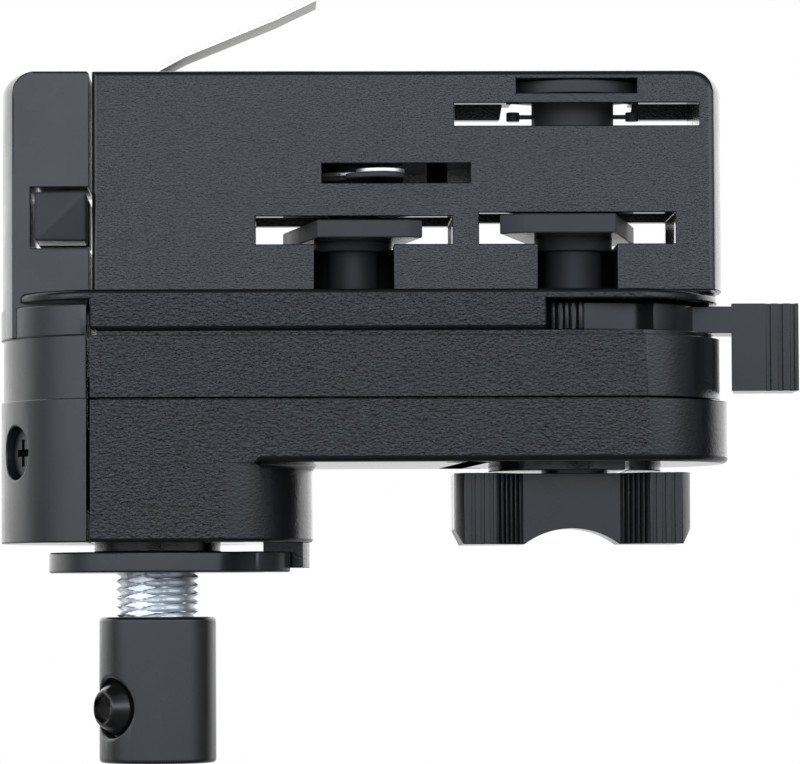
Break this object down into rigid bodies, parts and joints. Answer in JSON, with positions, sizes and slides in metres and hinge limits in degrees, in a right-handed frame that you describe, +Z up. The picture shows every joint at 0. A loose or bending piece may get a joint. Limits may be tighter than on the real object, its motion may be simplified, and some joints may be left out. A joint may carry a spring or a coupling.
{
  "type": "track light adapter",
  "caption": "Black lighting-track adapter with slotted contact housing, geared locking wings on a swing lever, phase selector knob and swivelling hollow stem with cord grip.",
  "frame": {"origin": "on the axis of the hollow stem, at the underside of the stem boss", "axes": "+X along the track towards the locking lever, +Z up into the track, -Y the front face that the picture shows"},
  "size_m": [0.0957, 0.0334, 0.0916],
  "materials": {
    "grained_plastic": "fine moulded grain",
    "smooth_plastic": "smooth satin",
    "gloss_plastic": "gloss",
    "pale_plastic": "smooth",
    "zinc_steel": "bright zinc plate",
    "black_steel": "blackened",
    "nickel": "nickel plate",
    "brass": "plain"
  },
  "bodies": {
    "housing": {"contact_housing_front": "grained_plastic", "contact_housing_rear": "grained_plastic", "end_cap": "smooth_plastic", "cap_screws": "black_steel", "collar": "grained_plastic", "waist_housing": "grained_plastic", "base_housing": "grained_plastic", "housing_screws": "zinc_steel", "clamp_screws": "zinc_steel", "catch_spring": "zinc_steel", "terminal_block": "pale_plastic", "terminal_screws": "brass"},
    "lever": {"locking_lever": "smooth_plastic", "lock_wing_b": "smooth_plastic"},
    "rotor": {"gear_sector": "smooth_plastic", "lock_wing_a": "smooth_plastic", "neutral_contact": "nickel"},
    "selector": {"phase_knob": "smooth_plastic", "selector_shaft": "zinc_steel", "phase_rotor": "smooth_plastic", "phase_contact": "nickel"},
    "earth": {"earth_spring": "nickel"},
    "front_catch": {"catch_front": "gloss_plastic"},
    "rear_catch": {"catch_rear": "gloss_plastic"},
    "swivel": {"stem": "zinc_steel", "stem_nut": "zinc_steel", "stop_washer": "smooth_plastic", "cord_grip": "smooth_plastic"},
    "clamp_screw": {"grip_screw": "gloss_plastic"}
  },
  "joints": [
    {"name": "lever_swing", "type": "hinge", "parent": "housing", "child": "lever", "pos_m": [0.0502, 0, 0.0266], "axis": [0, 0, 1], "range_deg": [-90, 0]},
    {"name": "rotor_turn", "type": "hinge", "parent": "housing", "child": "rotor", "pos_m": [0.0236, 0, 0.0266], "axis": [0, 0, 1], "range_deg": [0, 90]},
    {"name": "selector_turn", "type": "hinge", "parent": "housing", "child": "selector", "pos_m": [0.0502, 0, 0.004], "axis": [0, 0, 1], "range_deg": [0, 180]},
    {"name": "earth_press", "type": "hinge", "parent": "housing", "child": "earth", "pos_m": [-0.002, 0, 0.0555], "axis": [0, 1, 0], "range_deg": [0, 20], "stiffness_Nm_per_rad": 0.05, "springref_deg": -5.73},
    {"name": "front_catch_press", "type": "slide", "parent": "housing", "child": "front_catch", "axis": [0, 1, 0], "range_m": [0, 0.0014], "stiffness_N_per_m": 300, "springref_m": -0.002, "deforming": ["catch_spring"]},
    {"name": "rear_catch_press", "type": "slide", "parent": "housing", "child": "rear_catch", "axis": [0, -1, 0], "range_m": [0, 0.0014], "stiffness_N_per_m": 300, "springref_m": -0.002, "deforming": ["catch_spring"]},
    {"name": "stem_swivel", "type": "hinge", "parent": "housing", "child": "swivel", "pos_m": [0, 0, 0], "axis": [0, 0, 1], "range_deg": [-318, 0]},
    {"name": "grip_screw_drive", "type": "slide", "parent": "swivel", "child": "clamp_screw", "axis": [0.8192, 0.5736, 0], "range_m": [0, 0.003]}
  ],
  "couplings": [
    {"joint": "rotor_turn", "follows": "lever_swing", "ratio": -1}
  ]
}
